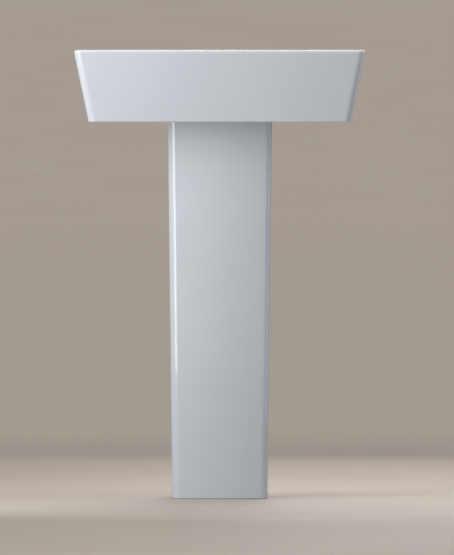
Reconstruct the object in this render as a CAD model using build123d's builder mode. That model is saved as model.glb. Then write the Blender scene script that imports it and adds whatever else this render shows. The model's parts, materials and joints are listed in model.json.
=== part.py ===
"""A pedestal sink: a 550 mm wash basin with a battered apron on a slim full pedestal.

The waste, with its press-to-close plug, and the bottle trap hide inside the pedestal.
Millimetres. +X is the user's right at the front, +Y points at the wall, +Z is up.
The origin is on the floor, under the middle of the basin's plan.
"""

from build123d import *
from math import atan, cos, sin
import os

# ---------------------------------------------------------------- basin
WIDTH = 550.0  # over the rim
DEPTH = 440.0  # from the rim's front edge to the wall
HEIGHT = 850.0  # from the floor to the rim
APRON = 136.0  # height of the outer faces
BATTER = 28.0  # how far the front and side faces lean in over the apron's height
WALL = 11.0  # thickness of the cast ceramic
RIM_RADIUS = 5.0  # outer edge of the rim
LIP_RADIUS = 6.0  # edge of the bowl
FRONT_CORNER = 14.0  # upright corners at the front
BACK_EDGE = 1.8
FOOT_EDGE = 2.0
RIM_WIDTH = 19.0  # from the outer edge to the bowl, at the front and sides
DECK = 112.0  # from the wall to the bowl, where the tap stands
DECK_THICKNESS = 15.0

# The bowl's walls lean in to a floor that falls to the waste.
BOWL_FLOOR = HEIGHT - 93.0  # foot of the walls
FLOOR_HALF_WIDTH = 215.0
FLOOR_FRONT = -165.0
FLOOR_BACK = 80.0
BOWL_CORNER_TOP = 38.0
BOWL_CORNER_FLOOR = 52.0
BOWL_FOOT_RADIUS = 28.0
WASTE_Y = -35.0
WASTE_FLOOR = HEIGHT - 100.0  # lowest point of the floor, round the waste
DRAIN_WIDTH = 84.0  # round the waste
WASTE_HOLE_RADIUS = 22.5
RECESS_RADIUS = 33.5  # seat of the waste's flange
RECESS_FLOOR = WASTE_FLOOR - 5.5
BOSS_RADIUS = 45.0

# The hollow under the basin: a gap round the bowl, and a deeper space under the tap deck.
SIDE_GAP_TOP = HEIGHT - 44.0
HOLLOW_CORNER = 12.0
HOLLOW_TOP_RADIUS = 5.0
DECK_SPACE_WIDTH = 480.0
DECK_SPACE_DEPTH = 104.0
DECK_SPACE_FOOT = 736.0
SHELL_FOOT_RADIUS = 34.0

# The overflow runs down behind the bowl and forward to the waste.
OVERFLOW_Z = 812.0
OVERFLOW_RADIUS = 11.0
DUCT_WIDTH = 32.0
DUCT_DEPTH = 14.0
DUCT_SKIN = 9.0
DUCT_LOW = 722.0
DUCT_HIGH = 735.0

TAP_HOLE_RADIUS = 17.5
TAP_HOLE_Y = DEPTH / 2 - 57.0
WALL_HOLE_RADIUS = 14.0
WALL_HOLE_SPACING = 280.0
WALL_HOLE_Z = 795.0

# ---------------------------------------------------------------- pedestal
PEDESTAL_TOP = 737.0
STRIP = 2.0  # rubber strip between the pedestal and the basin
STRIP_INSET = 2.5
STRIP_WIDTH = 6.0
STRIP_BACK = 50.0
FOOT_WIDTH = 181.0
TOP_WIDTH = 198.4
FOOT_FRONT = -104.0
TOP_FRONT = -112.0
FOOT_BACK = 104.0
TOP_BACK = 114.0
BOW = 10.5  # how far the front face bulges
PEDESTAL_CORNER = 17.0
PEDESTAL_CORNER_LEAST = 8.0
PEDESTAL_BACK_CORNER = 5.0
PEDESTAL_EDGE = 2.0
RETURN = 16.0  # reach of the in-turned back edges
FOOT_FLANGE = 24.0  # reach of the in-turned foot
FOOT_THICKNESS = 16.0
FLOOR_HOLE_RADIUS = 4.5
FLOOR_HOLE_SPACING = 135.0
FLOOR_HOLE_Y = 45.0

# ---------------------------------------------------------------- waste
TAIL_RADIUS = 20.75  # 1 1/4 inch pipe thread
TAIL_BORE = 18.5
TAIL_END = 662.0
FLANGE_RADIUS = 32.0
FLANGE_TOP = WASTE_FLOOR + 0.5
FLANGE_FOOT = FLANGE_TOP - 4.0
CONE_RADIUS = 24.5
WINDOW_WIDTH = 12.0
WINDOW_HEIGHT = 14.0
SPIDER_LOW = 716.0
SPIDER_HIGH = 725.0
SPIDER_BOSS = 9.0
SPIDER_ARM = 4.0
STUB_RADIUS = 4.0
FIT = 0.35  # gap between threads that are not cut

WASHER_FOOT = 706.0
SLIP_WASHER = 2.0
NUT_FACE = 2.0
NUT_HEIGHT = 9.0
NUT_ACROSS = 52.0

# The press-to-close plug
PLUG_TRAVEL = 8.5
CAP_UNDER = FLANGE_TOP + 0.5 + PLUG_TRAVEL  # underside of the cap with the plug open
CAP_RADIUS = 31.0
CAP_CROWN = 6.0
SOCKET = 8.8  # boss under the cap
HOUSING_RADIUS = 8.5
HOUSING_BORE = 6.6
HOUSING_TOP = 745.0
HOUSING_SKIN = 2.0
ROD_RADIUS = 4.0
ROD_HOLE = 4.25
SCREW_RADIUS = 3.0
SHOULDER_RADIUS = 6.2
SHOULDER = 3.0
SHOULDER_TOP = HOUSING_TOP - HOUSING_SKIN - 0.2
SPRING_FOOT = SPIDER_HIGH + HOUSING_SKIN
SPRING_RADIUS = 4.8
SPRING_WIRE = 0.45
SPRING_TURNS = 4
SPRING_CLEAR = 0.1
PLUG_SEAL = 3.0
PLUG_SEAL_RADIUS = 21.0

# ---------------------------------------------------------------- bottle trap
PIPE_RADIUS = 16.0  # 32 mm waste pipe
PIPE_BORE = 14.2
SOCKET_RADIUS = 16.2
SOCKET_DEPTH = 25.0
COLLAR_RADIUS = 20.0
COLLAR = 4.0
WASHER = 3.0
SEAL = 6.0
SEAL_RADIUS = 19.0
NUT_RADIUS = 24.0
UNION_RADIUS = 24.5
NUT_MOUTH = 13.0  # thread inside a nut, and how far it reaches past the seal's foot
NUT_SKIN = 5.0
TUBE_FOOT = 560.0
NECK_TOP = 606.0
HEAD_TOP = 578.0
HEAD_RADIUS = 35.0
HEAD_BORE = 31.5
THREAD_RADIUS = 33.0
THREAD_BORE = 29.5
THREAD = 16.0
SEAT_Z = 505.0  # where the cup closes against the head
DIP_RADIUS = 18.6
DIP_BORE = 16.3
DIP_END = 455.0
OUTLET_Z = 545.0
BRANCH_START = 28.5  # from the trap's axis
BRANCH_END = 62.0
CUP_SEAL = 3.0
CUP_RADIUS = 33.0
CUP_COLLAR = 38.0
CUP_FOOT = SEAT_Z - 73.0
CUP_LEDGE = SEAT_Z - CUP_SEAL
RIB_WIDTH = 3.0
RIB_PROUD = 1.4
RIB_ROOT = 1.0

APRON_FOOT = HEIGHT - APRON
WALL_Y = DEPTH / 2
SEAT = PEDESTAL_TOP + STRIP  # flat underside of the bowl

WASTE_AXIS = Axis((0, WASTE_Y, 0), (0, 0, 1))
WASTE_PLANE = Plane(origin=(0, WASTE_Y, 0), x_dir=(1, 0, 0), z_dir=(0, -1, 0))
OUTLET_AXIS = Axis((0, WASTE_Y, OUTLET_Z), (0, 1, 0))
OUTLET_PLANE = Plane(origin=(0, WASTE_Y, OUTLET_Z), x_dir=(0, 0, 1), z_dir=(-1, 0, 0))

os.makedirs("parts", exist_ok=True)


def finish_piece(piece, name):
    """Labels a finished piece and writes its STEP file."""
    piece.part.label = name
    export_step(piece.part, f"parts/{name}.step")


def between(low, high, share):
    return low + (high - low) * share


def across(height):
    """A level plane centred on the waste's axis."""
    return Plane(origin=(0, WASTE_Y, height), z_dir=(0, 0, 1))


def across_outlet(reach):
    """A plane across the outlet branch, reach behind the trap's axis."""
    return Plane(origin=(0, WASTE_Y + reach, OUTLET_Z), x_dir=(1, 0, 0), z_dir=(0, 1, 0))


def turned(*outline, plane=WASTE_PLANE):
    """A closed profile of (radius, height) points, ready to revolve."""
    with BuildSketch(plane) as profile:
        with BuildLine():
            Polyline(*outline, close=True)
        make_face()
    return profile.sketch


def ring(inner, outer, low, high, plane=WASTE_PLANE):
    """The profile of a plain ring, ready to revolve."""
    return turned((inner, low), (outer, low), (outer, high), (inner, high), plane=plane)


# ---------------------------------------------------------------- basin
# The rounded rim edge reaches WIDTH and DEPTH, so the sharp corner stands a little further out.
LEAN = atan(BATTER / APRON)
RIM_OVERSHOOT = RIM_RADIUS * ((1 + sin(LEAN)) / cos(LEAN) - 1)


def apron_section(z, inset=0.0, front_corner=FRONT_CORNER, back_corner=0.0, past_wall=0.0):
    """The apron's outline at height z, or one that stands inset inside it or runs past the wall."""
    lean = BATTER * (HEIGHT - z) / APRON
    half = WIDTH / 2 + RIM_OVERSHOOT - lean - inset
    front = -DEPTH / 2 - RIM_OVERSHOOT + lean + inset
    back = WALL_Y - inset + past_wall
    with BuildSketch(Plane.XY.offset(z)) as section:
        with Locations((0, (front + back) / 2)):
            Rectangle(2 * half, back - front)
        fillet(section.vertices().group_by(Axis.Y)[0], front_corner)
        if back_corner:
            fillet(section.vertices().group_by(Axis.Y)[-1], back_corner)
    return section.sketch


def bowl_section(z, outset=0.0):
    """The bowl's inner outline at height z, or one that stands outset outside it."""
    share = (HEIGHT - z) / (HEIGHT - BOWL_FLOOR)
    half = between(WIDTH / 2 - RIM_WIDTH, FLOOR_HALF_WIDTH, share) + outset
    front = between(-DEPTH / 2 + RIM_WIDTH, FLOOR_FRONT, share) - outset
    back = between(WALL_Y - DECK, FLOOR_BACK, share) + outset
    corner = between(BOWL_CORNER_TOP, BOWL_CORNER_FLOOR, share) + outset
    with BuildSketch(Plane.XY.offset(z)) as section:
        with Locations((0, (front + back) / 2)):
            RectangleRounded(2 * half, back - front, corner)
    return section.sketch


def drain_section(z):
    """The small outline round the waste that the bowl's floor falls to."""
    with BuildSketch(across(z)) as section:
        RectangleRounded(DRAIN_WIDTH, DRAIN_WIDTH, DRAIN_WIDTH / 2 - 1)
    return section.sketch


# The water space: leaning walls, then the falling floor.
with BuildPart() as bowl_space:
    loft([bowl_section(HEIGHT + 1), bowl_section(BOWL_FLOOR)], ruled=True)
    loft([bowl_section(BOWL_FLOOR), drain_section(WASTE_FLOOR)], ruled=True)
    level_edges = bowl_space.edges().filter_by(lambda edge: edge.bounding_box().size.Z < FIT)
    fillet(level_edges.filter_by(lambda edge: abs(edge.center().Z - BOWL_FLOOR) < FIT), BOWL_FOOT_RADIUS)

# The bowl's outside, with the flat that sits on the pedestal.
with BuildPart() as bowl_shell:
    loft([bowl_section(HEIGHT - 1, WALL), bowl_section(SEAT, WALL)], ruled=True)
    fillet(bowl_shell.faces().sort_by(Axis.Z)[0].edges(), SHELL_FOOT_RADIUS)

REAR_SLOPE = (WALL_Y - DECK - FLOOR_BACK) / (HEIGHT - BOWL_FLOOR)
REAR_TILT = atan(REAR_SLOPE)


def rear_wall_y(z, behind=0.0):
    """How far back the bowl's rear wall is at height z, or a surface standing behind it."""
    return FLOOR_BACK + REAR_SLOPE * (z - BOWL_FLOOR) + behind / cos(REAR_TILT)


def duct_part(reach, low, high, top, near, far, width):
    """An L-shaped bar: down behind the rear wall, then forward at the foot to reach."""
    with BuildPart() as bar:
        with BuildSketch(Plane.YZ):
            with BuildLine():
                Polyline(
                    (reach, low),
                    (rear_wall_y(low, far), low),
                    (rear_wall_y(top, far), top),
                    (rear_wall_y(top, near), top),
                    (rear_wall_y(high, near), high),
                    (reach, high),
                    close=True,
                )
            make_face()
        extrude(amount=width / 2, both=True)
    return bar.part


duct_body = duct_part(
    reach=WASTE_Y,
    low=APRON_FOOT,
    high=SEAT + 1,
    top=HEIGHT - DECK_THICKNESS,
    near=1,
    far=WALL + DUCT_DEPTH + DUCT_SKIN,
    width=DUCT_WIDTH + 2 * DUCT_SKIN,
)
duct_space = duct_part(
    reach=WASTE_Y + WASTE_HOLE_RADIUS / 2,
    low=DUCT_LOW,
    high=DUCT_HIGH,
    top=OVERFLOW_Z + OVERFLOW_RADIUS + 1,
    near=WALL,
    far=WALL + DUCT_DEPTH,
    width=DUCT_WIDTH,
)

overflow_plane = Plane(
    origin=(0, rear_wall_y(OVERFLOW_Z), OVERFLOW_Z),
    x_dir=(1, 0, 0),
    z_dir=(0, -cos(REAR_TILT), sin(REAR_TILT)),
)


def hollow_section(z):
    return apron_section(z, WALL, HOLLOW_CORNER, HOLLOW_CORNER)


with BuildPart() as hollow:
    loft([hollow_section(APRON_FOOT - 1), hollow_section(SIDE_GAP_TOP)], ruled=True)
    fillet(hollow.faces().sort_by(Axis.Z)[-1].edges(), HOLLOW_TOP_RADIUS)
    with BuildSketch(Plane.XY.offset(DECK_SPACE_FOOT)):
        with Locations((0, WALL_Y - WALL - DECK_SPACE_DEPTH / 2)):
            RectangleRounded(DECK_SPACE_WIDTH, DECK_SPACE_DEPTH, HOLLOW_CORNER)
    extrude(amount=HEIGHT - DECK_THICKNESS - DECK_SPACE_FOOT)
    add(bowl_shell.part, mode=Mode.SUBTRACT)
    add(duct_body, mode=Mode.SUBTRACT)
    revolve(ring(0, BOSS_RADIUS, APRON_FOOT, SEAT + 2), axis=WASTE_AXIS, mode=Mode.SUBTRACT)


def at_back(edge):
    return edge.center().Y > WALL_Y - 1


def on_bowl_lip(edge):
    """Whether an edge bounds the bowl's opening in the rim."""
    middle = edge.center()
    return (
        middle.Z > HEIGHT - FIT
        and abs(middle.X) < WIDTH / 2 - RIM_WIDTH + 1
        and -DEPTH / 2 + RIM_WIDTH - 1 < middle.Y < WALL_Y - DECK + 1
    )


with BuildPart() as basin:
    loft([apron_section(z, past_wall=WALL) for z in (APRON_FOOT, HEIGHT)], ruled=True)
    split(bisect_by=Plane.XZ.offset(-WALL_Y), keep=Keep.TOP)
    rim_edges = basin.faces().sort_by(Axis.Z)[-1].edges()
    fillet(rim_edges.filter_by(lambda edge: not at_back(edge)), RIM_RADIUS)
    foot_edges = basin.faces().sort_by(Axis.Z)[0].edges()
    fillet(foot_edges.filter_by(lambda edge: not at_back(edge)), FOOT_EDGE)
    back_edges = basin.faces().sort_by(Axis.Y)[-1].edges()
    fillet(back_edges.filter_by(lambda edge: edge.center().Z > APRON_FOOT + 1), BACK_EDGE)
    add(bowl_space.part, mode=Mode.SUBTRACT)
    add(hollow.part, mode=Mode.SUBTRACT)
    # Waste hole, with a recess for the flange.
    revolve(ring(0, WASTE_HOLE_RADIUS, APRON_FOOT - 1, HEIGHT), axis=WASTE_AXIS, mode=Mode.SUBTRACT)
    revolve(ring(0, RECESS_RADIUS, RECESS_FLOOR, HEIGHT), axis=WASTE_AXIS, mode=Mode.SUBTRACT)
    # Overflow: the duct, and the hole through the rear wall.
    add(duct_space, mode=Mode.SUBTRACT)
    with BuildSketch(overflow_plane):
        Circle(OVERFLOW_RADIUS)
    extrude(amount=-(WALL + DUCT_DEPTH / 3), mode=Mode.SUBTRACT)
    # Tap hole in the deck, and the two holes for the wall bolts.
    with Locations((0, TAP_HOLE_Y, HEIGHT)):
        Hole(TAP_HOLE_RADIUS, depth=2 * DECK_THICKNESS)
    with BuildSketch(Plane.XZ.offset(-WALL_Y)):
        with GridLocations(WALL_HOLE_SPACING, 1, 2, 1):
            with Locations((0, WALL_HOLE_Z)):
                Circle(WALL_HOLE_RADIUS)
    extrude(amount=2 * WALL, mode=Mode.SUBTRACT)
    fillet(basin.edges().filter_by(on_bowl_lip), LIP_RADIUS)
finish_piece(basin, "basin")

# ---------------------------------------------------------------- pedestal


def pedestal_half(z):
    return between(FOOT_WIDTH, TOP_WIDTH, z / PEDESTAL_TOP) / 2


def pedestal_section(z, inset=0.0):
    """The pedestal's outline at height z: a bowed front, rounded corners, straight sides."""
    share = z / PEDESTAL_TOP
    half = pedestal_half(z) - inset
    front = between(FOOT_FRONT, TOP_FRONT, share) + inset
    back = between(FOOT_BACK, TOP_BACK, share) - inset
    corner = max(PEDESTAL_CORNER - inset / 2, PEDESTAL_CORNER_LEAST)
    with BuildSketch(Plane.XY.offset(z)) as section:
        with BuildLine():
            face = ThreePointArc((-half, front + BOW), (0, front), (half, front + BOW))
            Polyline(face @ 1, (half, back), (-half, back), face @ 0)
        make_face()
        fillet(section.vertices().group_by(Axis.Y)[-1], PEDESTAL_BACK_CORNER)
        fillet(section.vertices().group_by(Axis.Y)[0], corner)
    return section.sketch


def slot_section(z):
    """The outline of the open back at height z, between the in-turned returns."""
    with BuildSketch(Plane.XY.offset(z)) as section:
        with Locations((0, TOP_BACK)):
            Rectangle(2 * (pedestal_half(z) - WALL - RETURN), 4 * WALL)
    return section.sketch


with BuildPart() as pedestal:
    loft([pedestal_section(0), pedestal_section(PEDESTAL_TOP)], ruled=True)
    fillet(pedestal.faces().sort_by(Axis.Z)[0].edges(), PEDESTAL_EDGE)
    fillet(pedestal.faces().sort_by(Axis.Z)[-1].edges(), PEDESTAL_EDGE)
    loft(
        [pedestal_section(FOOT_THICKNESS, WALL), pedestal_section(PEDESTAL_TOP + 1, WALL)],
        ruled=True,
        mode=Mode.SUBTRACT,
    )
    loft([slot_section(-1), slot_section(PEDESTAL_TOP + 1)], ruled=True, mode=Mode.SUBTRACT)
    # The foot turns in, with a hole each side for a floor screw.
    extrude(
        pedestal_section(0, WALL + FOOT_FLANGE),
        amount=2 * FOOT_THICKNESS,
        mode=Mode.SUBTRACT,
    )
    with Locations((0, FLOOR_HOLE_Y, FOOT_THICKNESS)):
        with GridLocations(FLOOR_HOLE_SPACING, 1, 2, 1):
            Hole(FLOOR_HOLE_RADIUS, depth=2 * FOOT_THICKNESS)
finish_piece(pedestal, "pedestal")

# A rubber strip on the pedestal's top edge, under the flat of the bowl.
with BuildPart() as pedestal_strip:
    extrude(pedestal_section(PEDESTAL_TOP, STRIP_INSET), amount=STRIP)
    extrude(
        pedestal_section(PEDESTAL_TOP, STRIP_INSET + STRIP_WIDTH),
        amount=STRIP,
        mode=Mode.SUBTRACT,
    )
    with Locations((0, STRIP_BACK + TOP_WIDTH / 2, PEDESTAL_TOP)):
        Box(TOP_WIDTH, TOP_WIDTH, 2 * STRIP, mode=Mode.SUBTRACT)
finish_piece(pedestal_strip, "pedestal_strip")

# ---------------------------------------------------------------- overflow
# A sprung chrome ring that trims the overflow hole.
RING_RADIUS = 15.5
RING_BORE = 9.6
RING_LIP = 1.6
RING_SLEEVE = 9.0

with BuildPart() as overflow_ring:
    with BuildSketch(overflow_plane):
        Circle(RING_RADIUS)
        Circle(RING_BORE, mode=Mode.SUBTRACT)
    extrude(amount=RING_LIP)
    fillet(overflow_ring.edges().group_by(Axis(overflow_plane.origin, overflow_plane.z_dir))[-1], RING_LIP / 2)
    with BuildSketch(overflow_plane):
        Circle(OVERFLOW_RADIUS - FIT / 2)
        Circle(RING_BORE, mode=Mode.SUBTRACT)
    extrude(amount=-RING_SLEEVE)
finish_piece(overflow_ring, "overflow_ring")

# ---------------------------------------------------------------- waste
with BuildPart() as waste_body:
    revolve(
        turned(
            (TAIL_BORE, TAIL_END),
            (TAIL_RADIUS - 1, TAIL_END),
            (TAIL_RADIUS, TAIL_END + 1.2),
            (TAIL_RADIUS, FLANGE_FOOT),
            (FLANGE_RADIUS - 0.5, FLANGE_FOOT),
            (FLANGE_RADIUS, FLANGE_FOOT + 1.5),
            (FLANGE_RADIUS - 1, FLANGE_FOOT + 3.2),
            (CONE_RADIUS, FLANGE_TOP),
            (TAIL_BORE, FLANGE_TOP - 4.5),
        ),
        axis=WASTE_AXIS,
    )
    # Overflow windows, in line with the duct and opposite it.
    with BuildSketch(Plane.XZ.offset(-WASTE_Y)):
        with Locations((0, DUCT_LOW + WINDOW_HEIGHT / 2)):
            RectangleRounded(WINDOW_WIDTH, WINDOW_HEIGHT, WINDOW_WIDTH / 4)
    extrude(amount=FLANGE_RADIUS, both=True, mode=Mode.SUBTRACT)
    # Three arms carry the seat of the click cartridge.
    with BuildSketch(across(SPIDER_LOW)):
        Circle(SPIDER_BOSS)
        with PolarLocations((SPIDER_BOSS + TAIL_BORE) / 2, 3):
            Rectangle(TAIL_RADIUS - SPIDER_BOSS, SPIDER_ARM)
        Circle(STUB_RADIUS + FIT / 4, mode=Mode.SUBTRACT)
    extrude(amount=SPIDER_HIGH - SPIDER_LOW)
finish_piece(waste_body, "waste_body")

with BuildPart() as waste_flange_seal:
    revolve(
        ring(WASTE_HOLE_RADIUS + FIT, FLANGE_RADIUS - 0.5, RECESS_FLOOR, FLANGE_FOOT),
        axis=WASTE_AXIS,
    )
finish_piece(waste_flange_seal, "waste_flange_seal")

# Under the basin: a tapered washer seals the hole, and a slip washer and backnut press it home.
TAPER_RADIUS = 29.0
TAPER_FOOT_RADIUS = 25.0
TAPER_KNEE = WASHER_FOOT + 6.0

with BuildPart() as waste_taper_washer:
    revolve(
        turned(
            (TAIL_RADIUS + FIT, WASHER_FOOT),
            (TAPER_FOOT_RADIUS, WASHER_FOOT),
            (TAPER_RADIUS, TAPER_KNEE),
            (TAPER_RADIUS, APRON_FOOT),
            (TAIL_RADIUS + FIT, APRON_FOOT),
        ),
        axis=WASTE_AXIS,
    )
finish_piece(waste_taper_washer, "waste_taper_washer")

with BuildPart() as waste_slip_washer:
    revolve(
        ring(TAIL_RADIUS + FIT, TAPER_RADIUS - 1, WASHER_FOOT - SLIP_WASHER, WASHER_FOOT),
        axis=WASTE_AXIS,
    )
finish_piece(waste_slip_washer, "waste_slip_washer")

NUT_TOP = WASHER_FOOT - SLIP_WASHER
NUT_FOOT = NUT_TOP - NUT_FACE - NUT_HEIGHT
NUT_POINT = NUT_ACROSS / 2 + 5

with BuildPart() as waste_backnut:
    with BuildSketch(across(NUT_FOOT)):
        RegularPolygon(NUT_ACROSS / 2, 6, major_radius=False)
    extrude(amount=NUT_HEIGHT)
    # The points are chamfered at the foot, and the top carries a round face.
    revolve(
        turned((NUT_ACROSS / 2 + 1, NUT_FOOT), (NUT_POINT, NUT_FOOT), (NUT_POINT, NUT_FOOT + 2.5)),
        axis=WASTE_AXIS,
        mode=Mode.SUBTRACT,
    )
    revolve(ring(0, NUT_ACROSS / 2 + 2, NUT_FOOT + NUT_HEIGHT, NUT_TOP), axis=WASTE_AXIS)
    revolve(ring(0, TAIL_RADIUS + FIT, NUT_FOOT - 1, NUT_TOP + 1), axis=WASTE_AXIS, mode=Mode.SUBTRACT)
finish_piece(waste_backnut, "waste_backnut")

# ---------------------------------------------------------------- press-to-close plug
with BuildPart() as click_cartridge:
    revolve(
        turned(
            (0, SPIDER_LOW - 2),
            (STUB_RADIUS - 0.6, SPIDER_LOW - 2),
            (STUB_RADIUS, SPIDER_LOW - 1),
            (STUB_RADIUS, SPIDER_HIGH),
            (HOUSING_RADIUS, SPIDER_HIGH),
            (HOUSING_RADIUS, HOUSING_TOP - 1),
            (HOUSING_RADIUS - 1, HOUSING_TOP),
            (ROD_HOLE, HOUSING_TOP),
            (ROD_HOLE, HOUSING_TOP - HOUSING_SKIN),
            (HOUSING_BORE, HOUSING_TOP - HOUSING_SKIN),
            (HOUSING_BORE, SPRING_FOOT),
            (0, SPRING_FOOT),
        ),
        axis=WASTE_AXIS,
    )
finish_piece(click_cartridge, "click_cartridge")

with BuildPart() as plug_plunger:
    revolve(
        turned(
            (0, SHOULDER_TOP - SHOULDER),
            (SHOULDER_RADIUS, SHOULDER_TOP - SHOULDER),
            (SHOULDER_RADIUS, SHOULDER_TOP),
            (ROD_RADIUS, SHOULDER_TOP),
            (ROD_RADIUS, CAP_UNDER - SHOULDER * 2),
            (SCREW_RADIUS, CAP_UNDER - SHOULDER * 2),
            (SCREW_RADIUS, CAP_UNDER + SHOULDER / 2),
            (0, CAP_UNDER + SHOULDER / 2),
        ),
        axis=WASTE_AXIS,
    )
finish_piece(plug_plunger, "plug_plunger")

SPRING_LIFT = SHOULDER_TOP - SHOULDER - SPRING_FOOT - 2 * (SPRING_WIRE + SPRING_CLEAR)

with BuildPart() as click_spring:
    with BuildLine():
        coil = Helix(
            pitch=SPRING_LIFT / SPRING_TURNS,
            height=SPRING_LIFT,
            radius=SPRING_RADIUS,
            center=(0, WASTE_Y, SPRING_FOOT + SPRING_WIRE + SPRING_CLEAR),
        )
    with BuildSketch(Plane(origin=coil @ 0, z_dir=coil % 0)):
        Circle(SPRING_WIRE)
    sweep()
finish_piece(click_spring, "click_spring")

with BuildPart() as plug_cap:
    with BuildSketch(WASTE_PLANE):
        with BuildLine():
            dome = ThreePointArc(
                (0, CAP_UNDER + CAP_CROWN),
                (CAP_RADIUS * 0.55, CAP_UNDER + CAP_CROWN * 0.82),
                (CAP_RADIUS - 1, CAP_UNDER + CAP_CROWN * 0.4),
            )
            edge = ThreePointArc(
                dome @ 1,
                (CAP_RADIUS, CAP_UNDER + CAP_CROWN * 0.2),
                (CAP_RADIUS - 1, CAP_UNDER),
            )
            Polyline(
                edge @ 1,
                (SOCKET, CAP_UNDER),
                (SOCKET, CAP_UNDER - PLUG_SEAL - 1),
                (SCREW_RADIUS, CAP_UNDER - PLUG_SEAL - 1),
                (SCREW_RADIUS, CAP_UNDER + SHOULDER / 2),
                (0, CAP_UNDER + SHOULDER / 2),
                dome @ 0,
            )
        make_face()
    revolve(axis=WASTE_AXIS)
finish_piece(plug_cap, "plug_cap")

with BuildPart() as plug_seal:
    revolve(
        turned(
            (SOCKET, CAP_UNDER - PLUG_SEAL),
            (PLUG_SEAL_RADIUS - 1, CAP_UNDER - PLUG_SEAL),
            (PLUG_SEAL_RADIUS, CAP_UNDER - PLUG_SEAL + 1),
            (PLUG_SEAL_RADIUS, CAP_UNDER),
            (SOCKET, CAP_UNDER),
        ),
        axis=WASTE_AXIS,
    )
finish_piece(plug_seal, "plug_seal")

# ---------------------------------------------------------------- bottle trap


def hand_nut(inner, bore, radius, foot, shoulder, top, plane=WASTE_PLANE):
    """The profile of a hand nut: a threaded bore below, a shoulder with a smaller hole above."""
    return turned(
        (bore, foot),
        (radius - 1, foot),
        (radius, foot + 1),
        (radius, top - 3),
        (radius - 2, top),
        (inner, top),
        (inner, shoulder),
        (bore, shoulder),
        plane=plane,
    )


def ribs(foot_plane, radius, bore, count=16):
    """The section of the upright grip ribs round a hand nut, open in the middle."""
    with BuildSketch(foot_plane) as section:
        with PolarLocations(radius - RIB_ROOT, count):
            Rectangle(2 * (RIB_PROUD + RIB_ROOT), RIB_WIDTH)
        Circle(bore, mode=Mode.SUBTRACT)
    return section.sketch


def cone_seal(inner, foot, plane=WASTE_PLANE):
    """The profile of a tapered rubber seal."""
    return turned(
        (inner, foot),
        (SEAL_RADIUS, foot),
        (SEAL_RADIUS + 0.4, foot + SEAL / 3),
        (SEAL_RADIUS - 1, foot + SEAL),
        (inner, foot + SEAL),
        plane=plane,
    )


UNION_FOOT = TAIL_END - NUT_MOUTH
UNION_TOP = TAIL_END + NUT_MOUTH
COLLAR_TOP = TAIL_END - WASHER
COLLAR_FOOT = COLLAR_TOP - COLLAR

with BuildPart() as trap_union_washer:
    revolve(ring(PIPE_BORE, COLLAR_RADIUS, COLLAR_TOP, TAIL_END), axis=WASTE_AXIS)
finish_piece(trap_union_washer, "trap_union_washer")

with BuildPart() as trap_union_nut:
    revolve(
        turned(
            (PIPE_RADIUS + FIT, UNION_FOOT),
            (UNION_RADIUS - 1.5, UNION_FOOT),
            (UNION_RADIUS, UNION_FOOT + 2),
            (UNION_RADIUS, UNION_TOP - 1),
            (UNION_RADIUS - 1, UNION_TOP),
            (TAIL_RADIUS + FIT, UNION_TOP),
            (TAIL_RADIUS + FIT, COLLAR_FOOT),
            (PIPE_RADIUS + FIT, COLLAR_FOOT),
        ),
        axis=WASTE_AXIS,
    )
    extrude(
        ribs(across(UNION_FOOT + 3), UNION_RADIUS, TAIL_RADIUS + 1),
        amount=UNION_TOP - UNION_FOOT - 5,
    )
finish_piece(trap_union_nut, "trap_union_nut")

with BuildPart() as trap_inlet_tube:
    revolve(
        turned(
            (PIPE_BORE, TUBE_FOOT),
            (PIPE_RADIUS, TUBE_FOOT),
            (PIPE_RADIUS, COLLAR_FOOT),
            (COLLAR_RADIUS, COLLAR_FOOT),
            (COLLAR_RADIUS, COLLAR_TOP),
            (PIPE_BORE, COLLAR_TOP),
        ),
        axis=WASTE_AXIS,
    )
finish_piece(trap_inlet_tube, "trap_inlet_tube")

with BuildPart() as trap_inlet_seal:
    revolve(cone_seal(PIPE_RADIUS + FIT / 4, NECK_TOP), axis=WASTE_AXIS)
finish_piece(trap_inlet_seal, "trap_inlet_seal")

with BuildPart() as trap_inlet_nut:
    revolve(
        hand_nut(
            inner=PIPE_RADIUS + FIT,
            bore=COLLAR_RADIUS + FIT,
            radius=NUT_RADIUS,
            foot=NECK_TOP - NUT_MOUTH,
            shoulder=NECK_TOP + SEAL,
            top=NECK_TOP + SEAL + NUT_SKIN,
        ),
        axis=WASTE_AXIS,
    )
    extrude(ribs(across(NECK_TOP - NUT_MOUTH), NUT_RADIUS, COLLAR_RADIUS + 1), amount=NUT_MOUTH + SEAL)
finish_piece(trap_inlet_nut, "trap_inlet_nut")

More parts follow.
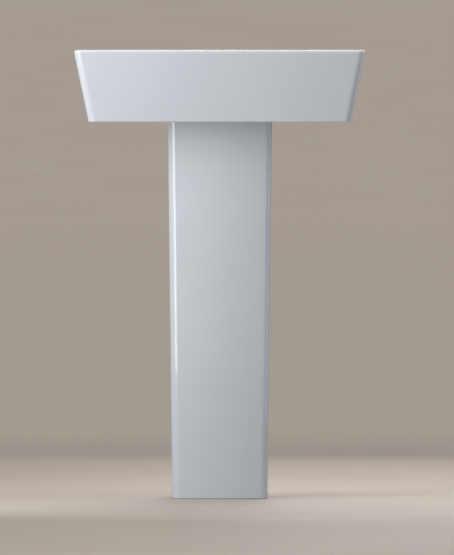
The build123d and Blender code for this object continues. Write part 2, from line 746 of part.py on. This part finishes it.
with BuildPart() as trap_body:
    revolve(
        turned(
            (THREAD_BORE, SEAT_Z),
            (THREAD_RADIUS, SEAT_Z),
            (THREAD_RADIUS, SEAT_Z + THREAD),
            (HEAD_RADIUS, SEAT_Z + THREAD + 2),
            (HEAD_RADIUS, HEAD_TOP - 8),
            (HEAD_RADIUS - 3, HEAD_TOP - 2),
            (HEAD_RADIUS - 9, HEAD_TOP),
            (COLLAR_RADIUS, HEAD_TOP + 2),
            (COLLAR_RADIUS, NECK_TOP),
            (DIP_BORE, NECK_TOP),
            (DIP_BORE, DIP_END),
            (DIP_RADIUS, DIP_END),
            (DIP_RADIUS, HEAD_TOP - 4),
            (HEAD_RADIUS - 10, HEAD_TOP - 4),
            (HEAD_BORE, HEAD_TOP - 10),
            (HEAD_BORE, SEAT_Z + THREAD + 2),
            (THREAD_BORE, SEAT_Z + THREAD - 2),
        ),
        axis=WASTE_AXIS,
    )
    # Outlet branch: a socket for the waste pipe, stepped down to the pipe's bore.
    with BuildSketch(across_outlet(BRANCH_START)):
        Circle(COLLAR_RADIUS)
    extrude(amount=BRANCH_END - BRANCH_START)
    with BuildSketch(across_outlet(DIP_RADIUS + 2)):
        Circle(PIPE_BORE)
    extrude(amount=BRANCH_END, mode=Mode.SUBTRACT)
    with BuildSketch(across_outlet(BRANCH_END)):
        Circle(SOCKET_RADIUS)
    extrude(amount=-SOCKET_DEPTH, mode=Mode.SUBTRACT)
finish_piece(trap_body, "trap_body")

with BuildPart() as trap_cup_seal:
    revolve(ring(THREAD_BORE + FIT, THREAD_RADIUS, CUP_LEDGE, SEAT_Z), axis=WASTE_AXIS)
finish_piece(trap_cup_seal, "trap_cup_seal")

COLLAR_LOW = SEAT_Z - 9.0
COLLAR_HIGH = SEAT_Z + 13.5

with BuildPart() as trap_cup:
    revolve(
        turned(
            (0, CUP_FOOT),
            (CUP_RADIUS - 11, CUP_FOOT),
            (CUP_RADIUS - 4, CUP_FOOT + 2),
            (CUP_RADIUS, CUP_FOOT + 9),
            (CUP_RADIUS, COLLAR_LOW),
            (CUP_COLLAR, COLLAR_LOW + 4),
            (CUP_COLLAR, COLLAR_HIGH - 1.5),
            (CUP_COLLAR - 1, COLLAR_HIGH),
            (THREAD_RADIUS + FIT, COLLAR_HIGH),
            (THREAD_RADIUS + FIT, CUP_LEDGE),
            (THREAD_BORE, CUP_LEDGE),
            (THREAD_BORE, CUP_FOOT + 10),
            (THREAD_BORE - 3.5, CUP_FOOT + 5),
            (0, CUP_FOOT + 3),
        ),
        axis=WASTE_AXIS,
    )
    extrude(ribs(across(COLLAR_LOW + 4), CUP_COLLAR, CUP_COLLAR - 2, count=20), amount=THREAD)
finish_piece(trap_cup, "trap_cup")

with BuildPart() as trap_outlet_seal:
    revolve(cone_seal(SOCKET_RADIUS, BRANCH_END, plane=OUTLET_PLANE), axis=OUTLET_AXIS)
finish_piece(trap_outlet_seal, "trap_outlet_seal")

with BuildPart() as trap_outlet_nut:
    revolve(
        hand_nut(
            inner=PIPE_RADIUS + FIT,
            bore=COLLAR_RADIUS + FIT,
            radius=NUT_RADIUS,
            foot=BRANCH_END - NUT_MOUTH,
            shoulder=BRANCH_END + SEAL,
            top=BRANCH_END + SEAL + NUT_SKIN,
            plane=OUTLET_PLANE,
        ),
        axis=OUTLET_AXIS,
    )
    extrude(
        ribs(across_outlet(BRANCH_END - NUT_MOUTH), NUT_RADIUS, COLLAR_RADIUS + 1),
        amount=NUT_MOUTH + SEAL,
    )
finish_piece(trap_outlet_nut, "trap_outlet_nut")
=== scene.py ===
import json
import math

import bmesh
import bpy
from mathutils import Matrix, Vector


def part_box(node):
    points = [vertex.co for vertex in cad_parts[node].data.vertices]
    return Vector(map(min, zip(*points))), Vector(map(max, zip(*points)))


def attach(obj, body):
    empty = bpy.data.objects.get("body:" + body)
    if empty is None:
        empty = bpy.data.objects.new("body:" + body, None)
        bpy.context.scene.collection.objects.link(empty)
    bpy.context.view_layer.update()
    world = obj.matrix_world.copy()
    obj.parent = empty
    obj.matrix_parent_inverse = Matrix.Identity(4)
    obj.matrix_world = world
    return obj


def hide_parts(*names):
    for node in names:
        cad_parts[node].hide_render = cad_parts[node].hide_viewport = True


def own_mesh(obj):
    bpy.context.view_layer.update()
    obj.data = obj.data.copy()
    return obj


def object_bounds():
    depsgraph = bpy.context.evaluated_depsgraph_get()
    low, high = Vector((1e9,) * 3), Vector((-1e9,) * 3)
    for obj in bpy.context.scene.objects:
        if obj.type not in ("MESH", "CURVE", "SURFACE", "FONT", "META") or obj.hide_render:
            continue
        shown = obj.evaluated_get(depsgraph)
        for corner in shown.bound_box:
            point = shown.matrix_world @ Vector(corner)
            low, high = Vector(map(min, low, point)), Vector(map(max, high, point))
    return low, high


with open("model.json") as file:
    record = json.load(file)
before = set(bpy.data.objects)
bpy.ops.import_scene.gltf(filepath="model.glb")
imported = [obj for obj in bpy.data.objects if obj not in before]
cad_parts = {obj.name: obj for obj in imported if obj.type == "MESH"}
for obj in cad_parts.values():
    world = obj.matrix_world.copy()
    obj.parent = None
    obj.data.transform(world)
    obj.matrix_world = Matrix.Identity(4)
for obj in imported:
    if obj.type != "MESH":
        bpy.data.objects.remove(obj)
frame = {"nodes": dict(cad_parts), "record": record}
cad_low, cad_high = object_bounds()
nodes = frame["nodes"]


# ---------------------------------------------------------------- node material helpers
UNDER_BASIN = 0.721  # above the basin's foot, so that its ground rim stays out
INWARD_LEAST = 0.002  # a wall is inside where its level normal, times its place, is below minus this
INWARD_STEP = 900  # steepness of that limit
UPRIGHT = 0.1  # a wall's normal rises less than this
DOWNWARD = -0.3  # an underside's normal rises less than this
RAGGED = 0.0006  # how far the glaze's edge wanders
BARE_STEP = 2500  # steepness of the glaze's edge


class Shader:
    """A principled material whose patterns are laid out in the object's own metres."""

    def __init__(self, name, **constants):
        self.material = bpy.data.materials.new(name)
        self.material.use_nodes = True
        self.tree = self.material.node_tree
        self.bsdf = self.tree.nodes["Principled BSDF"]
        for socket, value in constants.items():
            self.bsdf.inputs[socket.replace("_", " ")].default_value = value
        self.place = self.tree.nodes.new("ShaderNodeTexCoord").outputs["Object"]

    def link(self, source, target):
        self.tree.links.new(source, target)

    def stretched(self, scale):
        """The object's coordinates, scaled along each axis."""
        mapping = self.tree.nodes.new("ShaderNodeMapping")
        mapping.inputs["Scale"].default_value = scale
        self.link(self.place, mapping.inputs["Vector"])
        return mapping.outputs["Vector"]

    def noise(self, size, detail=2.0, roughness=0.5, place=None, distortion=0.0):
        """Noise whose blobs are about size metres across."""
        node = self.tree.nodes.new("ShaderNodeTexNoise")
        node.inputs["Scale"].default_value = 1 / size
        node.inputs["Detail"].default_value = detail
        node.inputs["Roughness"].default_value = roughness
        node.inputs["Distortion"].default_value = distortion
        self.link(place or self.place, node.inputs["Vector"])
        return node.outputs["Fac"]

    def spots(self, spacing):
        """Distance from scattered points about spacing metres apart, in spacings."""
        node = self.tree.nodes.new("ShaderNodeTexVoronoi")
        node.inputs["Scale"].default_value = 1 / spacing
        self.link(self.place, node.inputs["Vector"])
        return node.outputs["Distance"]

    def ramp(self, source, *stops):
        """Maps source through (position, colour or grey) stops."""
        node = self.tree.nodes.new("ShaderNodeValToRGB")
        elements = node.color_ramp.elements
        while len(elements) < len(stops):
            elements.new(0.5)
        for element, (position, value) in zip(elements, stops):
            element.position = position
            grey = isinstance(value, (int, float))
            element.color = (value, value, value, 1) if grey else (*value, 1)
        self.link(source, node.inputs["Fac"])
        return node.outputs["Color"]

    def math(self, operation, first, second=0.0, third=0.0, clamp=False):
        """A Math node on numbers or sockets."""
        node = self.tree.nodes.new("ShaderNodeMath")
        node.operation = operation
        node.use_clamp = clamp
        for socket, value in zip(node.inputs, (first, second, third)):
            if isinstance(value, (int, float)):
                socket.default_value = value
            else:
                self.link(value, socket)
        return node.outputs["Value"]

    def scaled(self, source, low, high):
        """Takes a 0 to 1 value to low to high."""
        return self.math("MULTIPLY_ADD", source, high - low, low)

    def mix(self, share, first, second, blend="MIX"):
        """Blends two colours, each a tuple or a socket."""
        node = self.tree.nodes.new("ShaderNodeMix")
        node.data_type = "RGBA"
        node.blend_type = blend
        named = {socket.identifier: socket for socket in (*node.inputs, *node.outputs)}
        for socket, value in (("Factor_Float", share), ("A_Color", first), ("B_Color", second)):
            socket = named[socket]
            if isinstance(value, tuple):
                socket.default_value = (*value, 1)
            elif isinstance(value, (int, float)):
                socket.default_value = value
            else:
                self.link(value, socket)
        return named["Result_Color"]

    def along(self, axis):
        """The object's X, Y or Z coordinate."""
        node = self.tree.nodes.new("ShaderNodeSeparateXYZ")
        self.link(self.place, node.inputs["Vector"])
        return node.outputs[axis]

    def inside(self):
        """1 on walls that face the upright axis through the origin, and on undersides above UNDER_BASIN."""
        facing = self.place.node.outputs["Normal"]
        level = self.vector("MULTIPLY", facing, (1, 1, 0), "Vector")
        outward = self.vector("DOT_PRODUCT", level, self.place, "Value")
        slope = self.tree.nodes.new("ShaderNodeSeparateXYZ")
        self.link(facing, slope.inputs["Vector"])
        inward = self.math("MULTIPLY", self.math("ADD", outward, INWARD_LEAST), -INWARD_STEP, clamp=True)
        upright = self.math("LESS_THAN", slope.outputs["Z"], UPRIGHT)
        downward = self.math("LESS_THAN", slope.outputs["Z"], DOWNWARD)
        high = self.math("GREATER_THAN", self.along("Z"), UNDER_BASIN)
        walls = self.math("MULTIPLY", inward, upright)
        return self.math("MAXIMUM", walls, self.math("MULTIPLY", downward, high))

    def vector(self, operation, first, second, result):
        """A Vector Math node on tuples or sockets."""
        node = self.tree.nodes.new("ShaderNodeVectorMath")
        node.operation = operation
        for socket, value in zip(node.inputs, (first, second)):
            if isinstance(value, tuple):
                socket.default_value = value
            else:
                self.link(value, socket)
        return node.outputs[result]

    def bump(self, height, depth, normal=None):
        """Relief depth metres deep."""
        node = self.tree.nodes.new("ShaderNodeBump")
        node.inputs["Strength"].default_value = 1.0
        node.inputs["Distance"].default_value = depth
        self.link(height, node.inputs["Height"])
        if normal is not None:
            self.link(normal, node.inputs["Normal"])
        return node.outputs["Normal"]

    def wear(self, colour=None, roughness=None, normal=None):
        """Puts finished patterns on the shader."""
        for socket, source in (("Base Color", colour), ("Roughness", roughness), ("Normal", normal)):
            if source is not None:
                self.link(source, self.bsdf.inputs[socket])
        return self.material


def glaze(name, body_foot, body_back):
    """White vitreous china: a glossy glaze with a faint orange peel, thin and dull inside and underneath.

    Below body_foot and behind body_back the clay is ground flat and bare.
    """
    s = Shader(name, IOR=1.52)
    ragged = s.math("MULTIPLY", s.noise(0.02), RAGGED)
    under = s.math("SUBTRACT", s.math("ADD", ragged, body_foot), s.along("Z"))
    behind = s.math("SUBTRACT", s.along("Y"), s.math("ADD", ragged, body_back))
    bare = s.math("MULTIPLY", s.math("MAXIMUM", under, behind), BARE_STEP, clamp=True)
    inner = s.inside()
    tone = s.ramp(s.noise(0.16, 3), (0.3, (0.80, 0.812, 0.83)), (0.7, (0.825, 0.836, 0.85)))
    specks = s.ramp(s.spots(0.011), (0.0, 0.82), (0.016, 0.86), (0.024, 1.0))
    tone = s.mix(1.0, tone, specks, "MULTIPLY")
    runs = s.noise(0.045, 3, 0.5, s.stretched((1.0, 1.0, 0.4)), 0.3)
    thin = s.ramp(runs, (0.3, (0.735, 0.725, 0.695)), (0.7, (0.785, 0.785, 0.775)))
    bisque = s.ramp(s.noise(0.004, 4), (0.3, (0.70, 0.67, 0.61)), (0.75, (0.76, 0.735, 0.68)))
    tone = s.mix(bare, s.mix(inner, tone, thin), bisque)
    sheen = s.scaled(s.noise(0.05, 3), 0.045, 0.11)
    dull = s.math("MULTIPLY", inner, s.scaled(runs, 0.6, 0.1))
    sheen = s.math("MAXIMUM", s.math("MAXIMUM", sheen, dull), s.math("MULTIPLY", bare, 0.85))
    peel = s.bump(s.noise(0.006, 1), 0.00001)
    waves = s.bump(s.noise(0.07, 1), 0.0002, peel)
    drips = s.bump(s.math("MULTIPLY", runs, inner), 0.0012, waves)
    grit = s.math("MULTIPLY", s.noise(0.0012, 3), bare)
    return s.wear(tone, sheen, s.bump(grit, 0.0001, drips))


def plated(name):
    """Polished chrome with a few dried water marks and hairline scratches."""
    s = Shader(name, Metallic=1.0)
    tone = s.ramp(s.noise(0.03, 3), (0.35, (0.66, 0.67, 0.69)), (0.65, (0.74, 0.75, 0.77)))
    marks = s.ramp(s.spots(0.006), (0.30, 0.10), (0.36, 0.0), (0.40, 0.0))
    hairs = s.noise(0.002, 3, 0.7, s.stretched((1.0, 14.0, 1.0)))
    sheen = s.math("ADD", s.scaled(hairs, 0.03, 0.12), s.math("MULTIPLY", marks, 0.6))
    return s.wear(tone, sheen, s.bump(hairs, 0.000004))


def turned_brass(name):
    """Machined brass: fine tool lines across the axis, with dull handled patches."""
    s = Shader(name, Metallic=1.0)
    tone = s.ramp(s.noise(0.008, 4), (0.3, (0.50, 0.35, 0.14)), (0.7, (0.66, 0.49, 0.22)))
    lines = s.noise(0.0012, 2, 0.6, s.stretched((0.08, 0.08, 1.0)))
    sheen = s.scaled(s.noise(0.006, 3), 0.18, 0.42)
    return s.wear(tone, sheen, s.bump(lines, 0.00002))


def steel_wire(name):
    """Drawn spring wire, a little uneven in gloss."""
    s = Shader(name, Metallic=1.0)
    tone = s.ramp(s.noise(0.003, 3), (0.3, (0.42, 0.43, 0.45)), (0.7, (0.56, 0.57, 0.59)))
    return s.wear(tone, s.scaled(s.noise(0.002, 2), 0.22, 0.4), s.bump(s.noise(0.0006), 0.000004))


def moulded(name, dark, light, gloss, grain):
    """Injection-moulded plastic: slight flow marks, fine texture, and a rougher bloom in places."""
    s = Shader(name, IOR=1.49)
    flow = s.noise(0.022, 3, 0.5, s.stretched((1.0, 1.0, 0.35)), 0.6)
    tone = s.ramp(flow, (0.3, dark), (0.7, light))
    sheen = s.scaled(s.noise(0.012, 3), gloss, gloss + 0.14)
    fine = s.bump(s.noise(0.0007, 2), grain)
    return s.wear(tone, sheen, s.bump(flow, 0.00006, fine))


def moulded_rubber(name, dark, light):
    """Moulded rubber: matt, with a dusty bloom and a grained skin."""
    s = Shader(name, IOR=1.45)
    bloom = s.noise(0.009, 5, 0.6)
    tone = s.ramp(bloom, (0.35, dark), (0.75, light))
    return s.wear(tone, s.scaled(bloom, 0.55, 0.85), s.bump(s.noise(0.0009, 3), 0.00003))


# The clay is bare below FOOT and behind BACK. The pedestal ends well before its BACK.
BASIN_FOOT_BARE = 0.7138
BASIN_BACK_BARE = 0.2192
PEDESTAL_FOOT_BARE = 0.0002
PEDESTAL_BACK_BARE = 0.2
finishes = {
    "basin_glaze": glaze("basin_glaze", BASIN_FOOT_BARE, BASIN_BACK_BARE),
    "pedestal_glaze": glaze("pedestal_glaze", PEDESTAL_FOOT_BARE, PEDESTAL_BACK_BARE),
    "chrome": plated("chrome"),
    "brass": turned_brass("brass"),
    "steel": steel_wire("steel"),
    "seal_rubber": moulded_rubber("seal_rubber", (0.012, 0.012, 0.013), (0.035, 0.035, 0.036)),
    "strip_rubber": moulded_rubber("strip_rubber", (0.34, 0.345, 0.35), (0.44, 0.445, 0.45)),
    "trap_plastic": moulded("trap_plastic", (0.74, 0.745, 0.74), (0.79, 0.795, 0.79), 0.16, 0.000006),
    "nut_plastic": moulded("nut_plastic", (0.70, 0.705, 0.70), (0.76, 0.765, 0.76), 0.34, 0.00002),
    "cartridge_plastic": moulded(
        "cartridge_plastic", (0.012, 0.012, 0.014), (0.02, 0.02, 0.022), 0.3, 0.00001
    ),
    "washer_plastic": moulded("washer_plastic", (0.60, 0.61, 0.60), (0.68, 0.69, 0.68), 0.3, 0.00001),
}

slot_of = {entry["node"]: entry["material_slot"] for entry in frame["record"]["subparts"]}
for name, node in nodes.items():
    node.data.materials.clear()
    node.data.materials.append(finishes[slot_of[name]])

# ---------------------------------------------------------------- hand nuts, cup and threads
WELD = 1e-6
CREASE = math.radians(34)  # an edge that turns more stays sharp
EDGE = 0.0006  # soft edge of a moulding
CORNER_SHARE = 0.4  # of a side that a soft corner may take
RIB_PROUD = 0.0014
RIB_SHARE = 0.62  # of each rib's pitch that is rib, not gap
RIB_STEPS = 10  # facets in each rib's pitch
NUT_RIBS = 16
CUP_RIBS = 20
PIPE_HOLE = 0.01635  # clears the 32 mm pipe
COLLAR_HOLE = 0.02035  # thread on a 40 mm neck
TAIL_HOLE = 0.0211  # thread on the waste's tail
UNION_SHOULDER = 0.006
COLLAR_SHOULDER = 0.019
THREAD_STEPS = 64  # facets in a turn
THREAD_SECTION = ((-0.44, 0.0), (-0.12, 1.0), (0.12, 1.0), (0.44, 0.0))  # (pitches along, share of height)
THREAD_FADE = 4  # a thread dies away over 1 / THREAD_FADE of a turn
TAIL_LEAD = 0.0015  # plain end below the tail's thread
TAIL_THREAD = 0.041
NECK_BELOW, NECK_ABOVE = 0.0128, 0.0022  # the neck's thread, from the cup's top
waste_low, waste_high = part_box("waste_body")
drain = Vector(((waste_low.x + waste_high.x) / 2, (waste_low.y + waste_high.y) / 2, 0))


def piece_of(bm, name, node, body):
    """Finishes a mesh: smooth but for its real edges, in its node's place and material."""
    bmesh.ops.remove_doubles(bm, verts=bm.verts, dist=WELD)
    bmesh.ops.recalc_face_normals(bm, faces=bm.faces)
    for face in bm.faces:
        face.smooth = True
    for edge in bm.edges:
        edge.smooth = edge.calc_face_angle(0) < CREASE
    mesh = bpy.data.meshes.new(name)
    bm.to_mesh(mesh)
    bm.free()
    mesh.materials.append(finishes[slot_of[node]])
    piece = bpy.data.objects.new(name, mesh)
    bpy.context.scene.collection.objects.link(piece)
    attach(piece, body)
    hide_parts(node)
    return piece


def softened(outline, radius=EDGE):
    """Rounds an outline's corners. Points that carry a rib weight stay as they are."""
    soft = []
    for i, point in enumerate(outline):
        here = Vector(point[:2])
        if len(point) == 3 or here.x == 0:
            soft.append((here.x, here.y, point[2] if len(point) == 3 else 0.0))
            continue
        before = Vector(outline[i - 1][:2]) - here
        after = Vector(outline[(i + 1) % len(outline)][:2]) - here
        start = here + before * min(radius / before.length, CORNER_SHARE)
        end = here + after * min(radius / after.length, CORNER_SHARE)
        for share in (0, 0.33, 0.67, 1):
            curve = start.lerp(here, share).lerp(here.lerp(end, share), share)
            soft.append((curve.x, curve.y, 0.0))
    return soft


def lathe(outline, ribs):
    """Turns a closed outline of (radius, height, rib weight) about Z, with round upright ribs."""
    bm = bmesh.new()
    steps = ribs * RIB_STEPS
    columns = []
    for step in range(steps):
        angle = 2 * math.pi * step / steps
        across = 2 * abs(step % RIB_STEPS - RIB_STEPS / 2) / RIB_STEPS
        swell = RIB_PROUD * math.sqrt(max(0.0, 1 - (across / RIB_SHARE) ** 2))
        column = []
        for radius, z, weight in outline:
            reach = radius + weight * swell
            column.append(bm.verts.new((reach * math.cos(angle), reach * math.sin(angle), z)))
        columns.append(column)
    count = len(outline)
    for step, column in enumerate(columns):
        following = columns[(step + 1) % steps]
        for i in range(count):
            j = (i + 1) % count
            if outline[i][0] or outline[j][0]:
                bm.faces.new((column[i], following[i], following[j], column[j]))
    return bm


def ribbed(radius, low, high):
    """An outer wall from low to high whose ribs rise and die away at its ends."""
    run = 1.5 * EDGE
    return [(radius, low, 0.0), (radius, low + run, 1.0), (radius, high - run, 1.0), (radius, high, 0.0)]


def hand_nut(node, foot_bore, top_bore, shoulder, sideways=False):
    """A ribbed nut that fills its node's place. shoulder is where the bore changes, from the foot."""
    low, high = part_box(node)
    tall = high.y - low.y if sideways else high.z - low.z
    radius = (high.x - low.x) / 2 - RIB_PROUD
    lead = 2.5 * EDGE
    outline = [(foot_bore + lead / 2, 0), (radius - lead, 0)]
    outline += ribbed(radius, lead, tall - 2 * lead)
    outline += [(radius - 2 * lead, tall), (top_bore, tall), (top_bore, shoulder)]
    outline += [(foot_bore, shoulder), (foot_bore, lead / 2)]
    bm = lathe(softened(outline), NUT_RIBS)
    if sideways:
        foot = Matrix.Translation((drain.x, low.y, (low.z + high.z) / 2))
        place = foot @ Matrix.Rotation(-math.pi / 2, 4, "X")
    else:
        place = Matrix.Translation((drain.x, drain.y, low.z))
    bmesh.ops.transform(bm, matrix=place, verts=bm.verts)
    piece_of(bm, node + "_moulding", node, "sink")


def bottle():
    """The trap's cup: a ribbed collar over a plain bottle with a dished foot."""
    low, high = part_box("trap_cup")
    tall = high.z - low.z
    collar, wall, bore, thread_bore = 0.038, 0.033, 0.0295, 0.03335
    collar_foot, ledge = 0.064, 0.07
    foot = [(0, 0.0018), (0.012, 0.0012), (0.019, 0), (0.0245, 0.0006), (0.0295, 0.0035), (wall, 0.0095)]
    grip = ribbed(collar, collar_foot + 0.004, tall - 0.0015)
    mouth = [(collar - 0.001, tall), (thread_bore, tall), (thread_bore, ledge), (bore, ledge)]
    well = [(bore, 0.01), (bore - 0.0035, 0.005), (0, 0.003)]
    outline = [*foot, (wall, collar_foot), *grip, *mouth, *well]
    bm = lathe(softened(outline, 2 * EDGE), CUP_RIBS)
    bmesh.ops.transform(bm, matrix=Matrix.Translation((drain.x, drain.y, low.z)), verts=bm.verts)
    piece_of(bm, "trap_cup_moulding", "trap_cup", "cup")


def helical_ridge(bm, low, high, root, crest, pitch):
    """A screw thread's ridge about the drain's axis, dying away at both ends."""
    turns = (high - low) / pitch - 1
    sunk = root - EDGE / 6
    last = None
    for step in range(round(turns * THREAD_STEPS) + 1):
        turned = step / THREAD_STEPS
        angle = 2 * math.pi * turned
        proud = min(1.0, THREAD_FADE * turned, THREAD_FADE * (turns - turned))
        row = []
        for along, share in THREAD_SECTION:
            radius = sunk + (crest - root) * share * max(proud, 0)
            x = drain.x + radius * math.cos(angle)
            y = drain.y + radius * math.sin(angle)
            row.append(bm.verts.new((x, y, low + pitch * (0.5 + turned + along))))
        if last:
            for i in range(len(row)):
                j = (i + 1) % len(row)
                bm.faces.new((last[i], last[j], row[j], row[i]))
        else:
            bm.faces.new(row)
        last = row
    bm.faces.new(reversed(last))


def threaded(node, low, high, crest, root, pitch):
    """A copy of a node with a real thread cut into the plain cylinder that stands for one."""
    bm = bmesh.new()
    bm.from_mesh(nodes[node].data)
    bmesh.ops.remove_doubles(bm, verts=bm.verts, dist=WELD)
    for z in (low, low + EDGE, high - EDGE, high):
        geometry = [*bm.verts, *bm.edges, *bm.faces]
        bmesh.ops.bisect_plane(bm, geom=geometry, plane_co=(0, 0, z), plane_no=(0, 0, 1), dist=WELD)
    for vert in bm.verts:
        arm = Vector((vert.co.x, vert.co.y, 0)) - drain
        if low + EDGE / 2 < vert.co.z < high - EDGE / 2 and abs(arm.length - crest) < EDGE:
            arm *= root / arm.length
            vert.co.x, vert.co.y = drain.x + arm.x, drain.y + arm.y
    helical_ridge(bm, low, high, root, crest, pitch)
    piece_of(bm, node + "_threaded", node, "sink")


hand_nut("trap_union_nut", PIPE_HOLE, TAIL_HOLE, UNION_SHOULDER)
hand_nut("trap_inlet_nut", COLLAR_HOLE, PIPE_HOLE, COLLAR_SHOULDER)
hand_nut("trap_outlet_nut", COLLAR_HOLE, PIPE_HOLE, COLLAR_SHOULDER, sideways=True)
bottle()
tail_foot = waste_low.z + TAIL_LEAD
threaded("waste_body", tail_foot, tail_foot + TAIL_THREAD, crest=0.02075, root=0.0197, pitch=0.0023)
cup_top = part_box("trap_cup")[1].z
threaded("trap_body", cup_top - NECK_BELOW, cup_top + NECK_ABOVE, crest=0.033, root=0.0317, pitch=0.0035)

# The spring hangs from the plug's shoulder and moves with the plug as a whole.
coil_mesh = bmesh.new()
coil_mesh.from_mesh(nodes["click_spring"].data)
coil = piece_of(coil_mesh, "click_spring_coil", "click_spring", "plug")
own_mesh(coil)

# ---------------------------------------------------------------- stage
LIT_RADIUS = 6  # painted shade: the floor's colour is toned down inside this, where the lamps fall on it, to hide their pool of light
height = cad_high.z


def stage_bowl():
    """A pale floor that turns up into a far backdrop all round, so that every side has one."""
    steps, curve_steps = 96, 12
    flat, far, rise = 70.0, 140.0, 50.0
    rings = [(flat * share, 0.0) for share in (0.01, 0.03, 0.08, 0.2, 0.4, 0.7, 1.0)]
    for step in range(1, curve_steps + 1):
        turn = step / curve_steps * math.pi / 2
        rings.append((flat + (far - flat) * math.sin(turn), rise * (1 - math.cos(turn))))
    points = [(0.0, 0.0, 0.0)]
    for radius, z in rings:
        for step in range(steps):
            angle = 2 * math.pi * step / steps
            points.append((radius * math.cos(angle), radius * math.sin(angle), z))
    faces = [(0, 1 + i, 1 + (i + 1) % steps) for i in range(steps)]
    for ring in range(len(rings) - 1):
        first = 1 + ring * steps
        for i in range(steps):
            j = (i + 1) % steps
            faces.append((first + i, first + steps + i, first + steps + j, first + j))
    mesh = bpy.data.meshes.new("floor")
    mesh.from_pydata(points, [], faces)
    mesh.polygons.foreach_set("use_smooth", [True] * len(mesh.polygons))
    floor = bpy.data.objects.new("floor", mesh)
    bpy.context.scene.collection.objects.link(floor)
    s = Shader("floor", IOR=1.45)
    tone = s.ramp(s.noise(0.8, 4), (0.3, (0.74, 0.645, 0.56)), (0.7, (0.765, 0.67, 0.585)))
    # Painted shade: the floor's colour is darkened to 0.70 at the middle, rising to full at LIT_RADIUS,
    # against the lamps' pool of light
    away = s.math("MULTIPLY", s.vector("LENGTH", s.place, (0, 0, 0), "Value"), 1 / LIT_RADIUS)
    tone = s.mix(1.0, tone, s.ramp(away, (0.0, 0.70), (0.3, 0.72), (1.0, 1.0)), "MULTIPLY")
    sheen = s.scaled(s.noise(0.3, 3), 0.5, 0.65)
    mesh.materials.append(s.wear(tone, sheen, s.bump(s.noise(0.003, 3), 0.0001)))
    floor.visible_diffuse = False


stage_bowl()

# ---------------------------------------------------------------- light
world = bpy.data.worlds.new("studio")
bpy.context.scene.world = world
world.use_nodes = True

# The world lights with a dim sky and shows the camera the far floor's own tone.
air = world.node_tree
fill = air.nodes["Background"]
fill.inputs["Color"].default_value = (0.87, 0.91, 1.0, 1)
fill.inputs["Strength"].default_value = 0.166
far_wall = air.nodes.new("ShaderNodeBackground")
far_wall.inputs["Color"].default_value = (0.375, 0.33, 0.288, 1)
seen = air.nodes.new("ShaderNodeMixShader")
air.links.new(air.nodes.new("ShaderNodeLightPath").outputs["Is Camera Ray"], seen.inputs["Fac"])
air.links.new(fill.outputs["Background"], seen.inputs[1])
air.links.new(far_wall.outputs["Background"], seen.inputs[2])
air.links.new(seen.outputs["Shader"], air.nodes["World Output"].inputs["Surface"])


GRID_SPREAD = math.radians(140)


def hung(name, kind, power, colour):
    """A new lamp that the camera doesn't see."""
    data = bpy.data.lights.new(name, kind)
    data.energy = power
    data.color = colour
    lamp = bpy.data.objects.new(name, data)
    lamp.visible_camera = False
    bpy.context.scene.collection.objects.link(lamp)
    return lamp


def softbox(name, place, aim, width, tall, power, colour):
    """A rectangular soft light at place, pointed at aim, with a grid that keeps it off the near floor."""
    lamp = hung(name, "AREA", power, colour)
    lamp.data.spread = GRID_SPREAD
    lamp.data.shape = "RECTANGLE"
    lamp.data.size = width
    lamp.data.size_y = tall
    lamp.location = place
    lamp.rotation_euler = (Vector(aim) - Vector(place)).to_track_quat("-Z", "Y").to_euler()


cool = (0.925, 0.972, 1.0)
shade = (0.9, 0.94, 1.0)
warm = (1.0, 0.89, 0.79)
key_turn = math.radians(44)
key_reach = 1.6
key_foot, key_top = 0.17, 2.25
key_middle = (key_foot + key_top) / 2
key_place = (-key_reach * math.sin(key_turn), -key_reach * math.cos(key_turn), key_middle)
key_tall = key_top - key_foot
softbox("key", key_place, aim=(0, -0.1, key_middle), width=0.6, tall=key_tall, power=15.8, colour=cool)
softbox("side", (1.8, 0.0, 0.95), aim=(0.1, -0.1, 0.6), width=0.7, tall=1.8, power=4.5, colour=shade)
softbox("right_fill", (1.5, -1.6, 0.95), aim=(0.1, -0.1, 0.6), width=0.7, tall=1.7, power=1.6, colour=shade)
softbox("top_rear", (0, 1.6, 2.5), aim=(0, 0, height), width=1.8, tall=0.6, power=12.0, colour=warm)
softbox("rear", (0.7, 3.4, 1.7), aim=(0, 0, 0.6), width=1.8, tall=1.8, power=12.0, colour=(1.0, 0.98, 0.96))
sky = hung("overhead", "SUN", power=1.15, colour=(1.0, 0.97, 0.94))
sky.data.angle = math.radians(60)

# ---------------------------------------------------------------- camera
SENSOR = 36.0
eye_height = height - 0.09
look = Vector((0.0134, -0.2, 0.4206))  # what the photograph's centre shows
reach = 30.0
view_width = 0.8569  # metres across the photograph, there
camera_data = bpy.data.cameras.new("camera")
camera = bpy.data.objects.new("camera", camera_data)
bpy.context.scene.collection.objects.link(camera)
camera.location = (look.x, look.y - reach, eye_height)
camera.rotation_euler = (look - camera.location).to_track_quat("-Z", "Y").to_euler()
distance = (look - camera.location).length
camera_data.sensor_fit = "HORIZONTAL"
camera_data.sensor_width = SENSOR
camera_data.lens = SENSOR * distance / view_width
camera_data.clip_start = 0.1
camera_data.clip_end = 400
bpy.context.scene.camera = camera
bpy.context.scene.view_settings.view_transform = "Standard"
